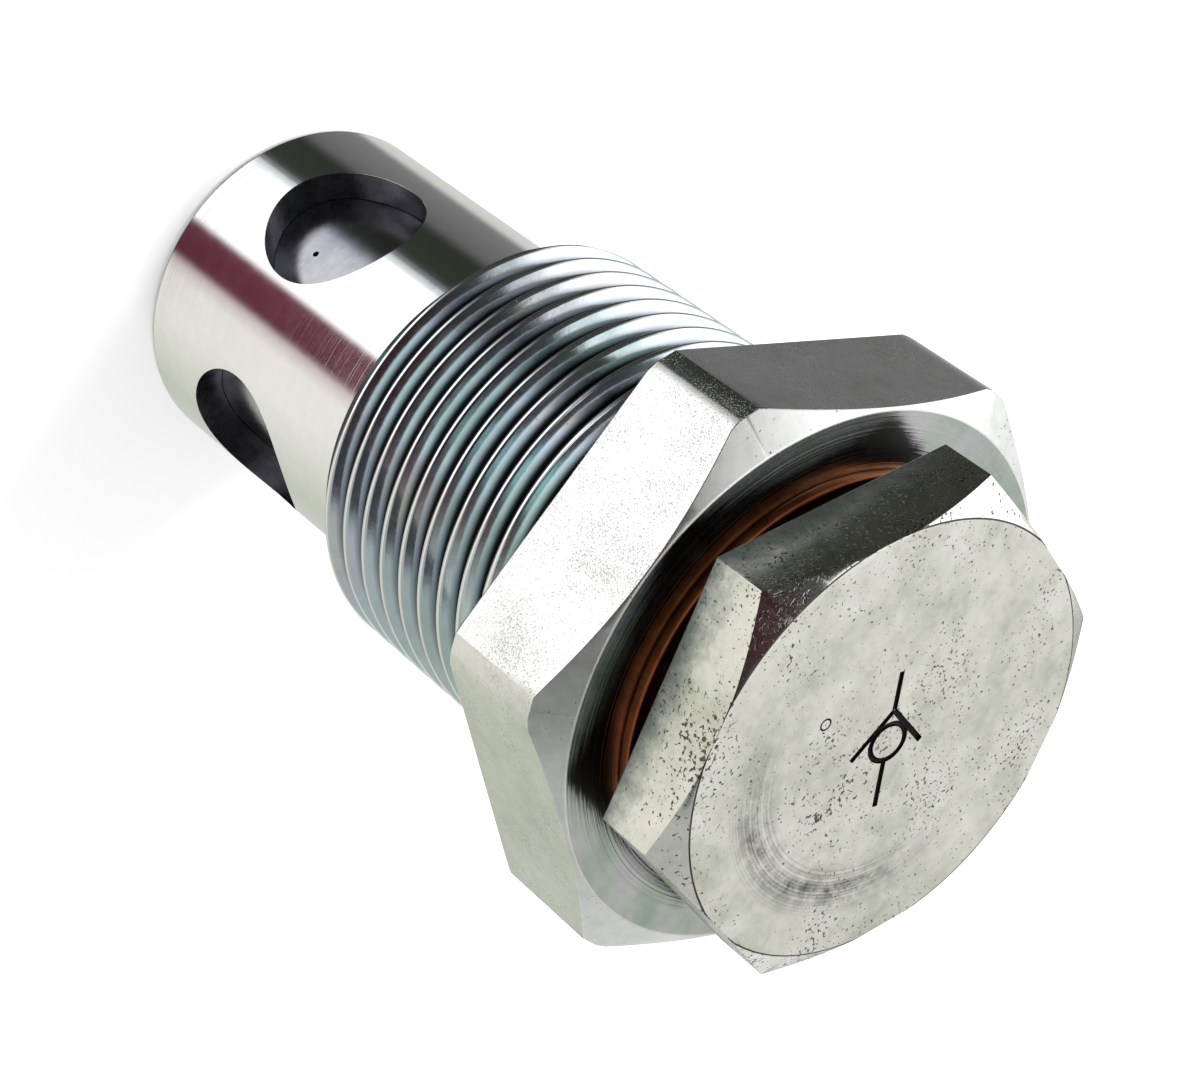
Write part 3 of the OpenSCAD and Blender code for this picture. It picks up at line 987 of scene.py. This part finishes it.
body_flats = metal_finish("zinc_milled_flats", ZINC, (0.12, 0.24), specks=0.83,
                          speck_tone=(0.60, 0.60, 0.59), lines=("bands", 0.1), speck_scale=7500.0)
body_face = metal_finish("zinc_turned_face", TURNED, (0.10, 0.22), specks=1.0, lines=("rings", 0.9),
                         extra=turned_tint)
body_sleeve = metal_finish("zinc_satin_sleeve", SATIN, (0.08, 0.14), lines=("bands", 0.2),
                           cloud_scale=60, grain_depth=0.06)
body_threads = metal_finish("zinc_cut_thread", ZINC, (0.08, 0.18), specks=1.0, extra=thread_tint_and_painted_light)
body_cone = metal_finish("zinc_turned_chamfer", ZINC, (0.30, 0.40), specks=0.92,
                         lines=("rings", 0.12))
# painted shade: the bore and the port walls take near-black tones for the shade inside them
body_inside_shaded = metal_finish("zinc_bored_painted_shade", BORED_SHADED, (0.20, 0.36), lines=("bands", 0.6))
body_finishes = [body_flats, body_face, body_sleeve, body_threads, body_inside_shaded, body_cone]
print("body finishes:", [finish.name for finish in body_finishes])


# %% The plug's finishes
# where the scuffed arc lies on the face, how far it spreads, and the side that it is on, which also
# takes painted shade
SCUFF_R, SCUFF_WIDTH, SHADED_SIDE_WAY = 11.4 * MM, 2.4 * MM, (0.5, 0.866)


def scuffed_and_shaded_arc(tree, spot_at, split, colour, rough, relief):
    """Dark arcs round one side of the face, about the plug's own axis: scratch lines, with painted
    shade in broad patches.
    """
    away = off_axis(tree, split)
    towards = minus(tree, times(tree, split.outputs["Y"], SHADED_SIDE_WAY[1]),
                    times(tree, split.outputs["X"], SHADED_SIDE_WAY[0]))
    side = maths(tree, "MULTIPLY_ADD", maths(tree, "DIVIDE", towards, away), 1.8, -0.45, clamp=True)
    off_rim = maths(tree, "ABSOLUTE", minus(tree, away, SCUFF_R))
    rim = minus(tree, 1.0, times(tree, off_rim, 1 / SCUFF_WIDTH), clamp=True)
    scratch = noise(tree, away, FINE_LINES, 2.0)
    shade_patches = noise(tree, spot_at, 620.0, 5.0, 0.65)
    marks = past(tree, plus(tree, times(tree, scratch, 0.55), shade_patches), 0.60, 3.0)
    # painted shade: the arc darkens only one side of the face, in broad patches as well as scratch
    # lines
    scuff_and_shade = times(tree, times(tree, rim, side), marks)
    colour = mix_colour(tree, scuff_and_shade, colour, (0.10, 0.11, 0.10))
    rough = maths(tree, "MULTIPLY_ADD", scuff_and_shade, 0.15, rough)
    return colour, rough, maths(tree, "MULTIPLY_ADD", scuff_and_shade, -0.8, relief)


def lower_edge(tree, spot_at, split, colour, rough, relief):
    """Darker, greener and rougher along the lower edge of the plug's flats."""
    ragged = noise(tree, spot_at, 700.0, 4.0, 0.7)
    climb = minus(tree, split.outputs["Z"], head_z)
    low = maths(tree, "MULTIPLY_ADD", ragged, 1.8, 0.1)
    low = maths(tree, "MULTIPLY_ADD", climb, -360.0, low, clamp=True)
    colour = mix_colour(tree, times(tree, low, 0.85), colour, (0.17, 0.21, 0.20))
    rough = maths(tree, "MULTIPLY_ADD", low, 0.18, rough)
    return colour, rough, plus(tree, times(tree, low, ragged), relief)


PALE = [(0.60, 0.62, 0.54), (0.77, 0.77, 0.72), (0.90, 0.87, 0.84)]
plug_flats = metal_finish("zinc_plug_flats", PALE, (0.13, 0.26), specks=0.83, extra=lower_edge)
plug_face = metal_finish("zinc_plug_face", PALE, (0.30, 0.46), specks=0.862,
                         cloud_scale=160, extra=scuffed_and_shaded_arc)
plug_cone = metal_finish("zinc_plug_chamfer", PALE, (0.10, 0.20), specks=0.85,
                         lines=("rings", 0.15))
plug_shank = metal_finish("zinc_plug_shank", ZINC, (0.16, 0.30), specks=1.0, lines=("bands", 0.3))
plug_paint = metal_finish("near_black_engraving", NEAR_BLACK, (0.45, 0.65), grain_scale=2500)
# painted shade: near-black tones for the collar in the gap under the hexagon and for a thin line
# round the edge of the face
plug_shade = metal_finish("collar_and_edge_painted_shade", SHADED, (0.25, 0.40), lines=("rings", 0.5))

# %% Copper, ground steel, spring wire and shim steel
GROUND = [(0.34, 0.34, 0.37), (0.42, 0.42, 0.46), (0.50, 0.50, 0.54)]
DRAWN = [(0.30, 0.30, 0.31), (0.42, 0.42, 0.43), (0.52, 0.52, 0.53)]
ROLLED = [(0.48, 0.48, 0.47), (0.60, 0.60, 0.59), (0.70, 0.70, 0.69)]
# painted shade: the copper's tones sit far below bare copper, for the washer's place in the gap
# between plug and body
COPPER_SHADED = [(0.20, 0.055, 0.018), (0.30, 0.090, 0.030), (0.40, 0.140, 0.055)]
copper = metal_finish("rolled_copper", COPPER_SHADED, (0.26, 0.42), specks=0.92,
                      speck_tone=(0.10, 0.035, 0.02), lines=("bands", 0.2))
ground_steel = metal_finish("ground_steel", GROUND, (0.15, 0.23), specks=1.0,
                            lines=("bands", 0.3), grain_depth=0.1)
spring_wire = metal_finish("drawn_spring_wire", DRAWN, (0.22, 0.36), specks=0.96, grain_scale=1500)
shim_steel = metal_finish("rolled_shim_steel", ROLLED, (0.18, 0.32), specks=0.96,
                          lines=("rings", 0.3))
print("other finishes:", copper.name, ground_steel.name, spring_wire.name, shim_steel.name)


# %% [markdown]
# ## Put the finishes on
# Each face of a piece takes the finish of the cut that made it. Where a face lies and which way
# it points say which cut that was.

# %% Paint by the cut
def paint(mesh, finishes, which):
    """Gives each face one of the finishes, by its middle and its direction."""
    mesh.materials.clear()
    for finish in finishes:
        mesh.materials.append(finish)
    for face in mesh.polygons:
        face.material_index = which(math.hypot(face.center.x, face.center.y), face.center.z, face)


def body_cut(radius, height, face):
    """Which finish a face of the body takes."""
    outward = face.normal.z
    if height > 0.02 * MM and radius > PLUG_HOLE_R + 0.3 * MM:
        if abs(outward) < 0.5:
            return 0
        return 5 if radius > BODY_FACE_R - 0.06 * MM or outward < 0 else 1
    # painted shade: faces inside the bore and the ports take the dark bored finish
    if radius < SLEEVE_R - 0.14 * MM and height > nose_z + 0.3 * MM:
        return 4
    if height > THREAD_START_Z - 0.01 * MM and radius > SLEEVE_R + 0.05 * MM:
        return 3
    return 2


def plug_cut(radius, height, face):
    """Which finish a face of the plug takes."""
    # painted shade: a thin dark line round the edge of the face
    if height > plug_top_z - 0.1 * MM and abs(radius - PLUG_FACE_R) < 0.07 * MM:
        return 4
    if height > plug_top_z - 0.6 * MM and radius < PLUG_FACE_R:
        return 1
    if height > head_z and abs(face.normal.z) < 0.4:
        return 0
    if height > head_z + 0.5 * MM:
        return 2
    # painted shade: the collar and the hexagon's underside, in the gap above the washer
    return 4 if height > washer_top_z - 0.01 * MM else 3


paint(body_mesh, body_finishes, body_cut)
paint(plug_mesh, [plug_flats, plug_face, plug_cone, plug_shank, plug_shade], plug_cut)
paint(washer_mesh, [copper], lambda radius, height, face: 0)
paint(poppet_mesh, [ground_steel], lambda radius, height, face: 0)
paint(spring_mesh, [spring_wire], lambda radius, height, face: 0)


# %% Engrave the plug's symbol and the punch's ring
strokes = [stroke_mesh("stroke", [on_face(p) for p in finely(line)], STROKE_R)
           for line in SYMBOL_LINES]
for x, y, radius in SYMBOL_RINGS:
    centre = on_face((x, y))
    strokes.append(stroke_mesh("ring", circle_points(*centre, radius * MM), STROKE_R, closed=True))
punched = circle_points(PUNCH_AT[0] * MM, PUNCH_AT[1] * MM, PUNCH_R * MM, 20)
strokes.append(stroke_mesh("punch", punched, PUNCH_LINE_R, closed=True))
for cutter in strokes:
    cutter.materials.clear()
    cutter.materials.append(plug_paint)
    plug_mesh = combine("plug_engraved", plug_mesh, cutter, "DIFFERENCE")
print("engraved cutters:", len(strokes))


# %% Smooth shading with crisp edges
def make_piece(name, mesh, sharp_angle=28.0):
    """An object for a mesh, smooth but for sharp edges, its flats shaded flat by area weights."""
    mesh.shade_smooth()
    mesh.set_sharp_from_angle(angle=math.radians(sharp_angle))
    host = link_object(name + "_host", mesh)
    weighted = host.modifiers.new("weighted", "WEIGHTED_NORMAL")
    weighted.mode = "FACE_AREA"
    weighted.keep_sharp = True
    return link_object(name, plain_mesh(name, host))


valve_body = make_piece("valve_body_plated", body_mesh, 24.0)
end_plug = make_piece("end_plug_plated", plug_mesh, 24.0)
copper_washer = make_piece("copper_washer_ring", washer_mesh, 50.0)
poppet = make_piece("poppet_ground", poppet_mesh, 30.0)
spring = make_piece("spring_coil", spring_mesh, 50.0)
for node_name in ("thin_shim", "thick_shim"):
    shim = frame["nodes"][node_name]
    shim.data.materials.clear()
    shim.data.materials.append(shim_steel)
print("pieces:", [o.name for o in (valve_body, end_plug, copper_washer, poppet, spring)])

# %% [markdown]
# ## Join the pieces to the frame
# Every piece rides on the body that carries it in the simulation. The spring is held by the
# plug and pressed by the poppet.

# %% Ride and replace
REPLACED = [(valve_body, "housing", "zinc_plated_body", "valve_body"),
            (end_plug, "housing", "zinc_plated_plug", "end_plug"),
            (copper_washer, "housing", "copper", "copper_washer"),
            (poppet, "poppet", "ground_steel", "poppet"),
            (spring, "housing", "spring_wire", "spring")]
for piece, body, finish_slot, node_name in REPLACED:
    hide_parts(node_name)
    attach(piece, body)
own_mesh(spring)
